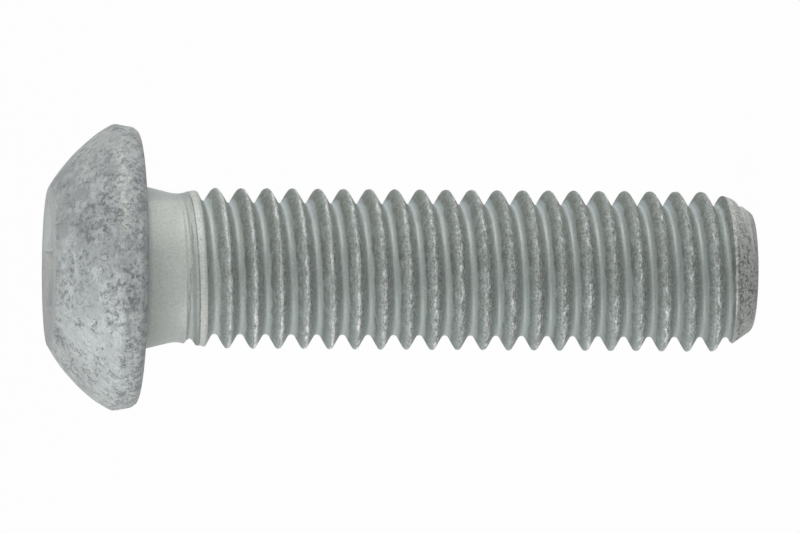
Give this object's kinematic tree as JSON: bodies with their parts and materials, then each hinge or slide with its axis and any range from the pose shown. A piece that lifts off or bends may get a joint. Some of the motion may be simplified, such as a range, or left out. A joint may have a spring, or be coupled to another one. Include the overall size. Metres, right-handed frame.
{
  "type": "button head screw",
  "caption": "Galvanised steel screw with a domed button head, a hexagon socket in the flat on top, a short tapered neck and a rolled metric thread up to a chamfered end.",
  "frame": {"origin": "centre of the flat end face, on the screw's axis, with the screw standing on its end", "axes": "+Z along the screw's axis from the end to the head; +X points where the thread nearly starts at the end"},
  "size_m": [0.014, 0.014, 0.0344],
  "materials": {
    "zinc": "matte hot-dip zinc with fine grey mottling"
  },
  "bodies": {
    "root": {"button_head_screw": "zinc"}
  },
  "joints": []
}
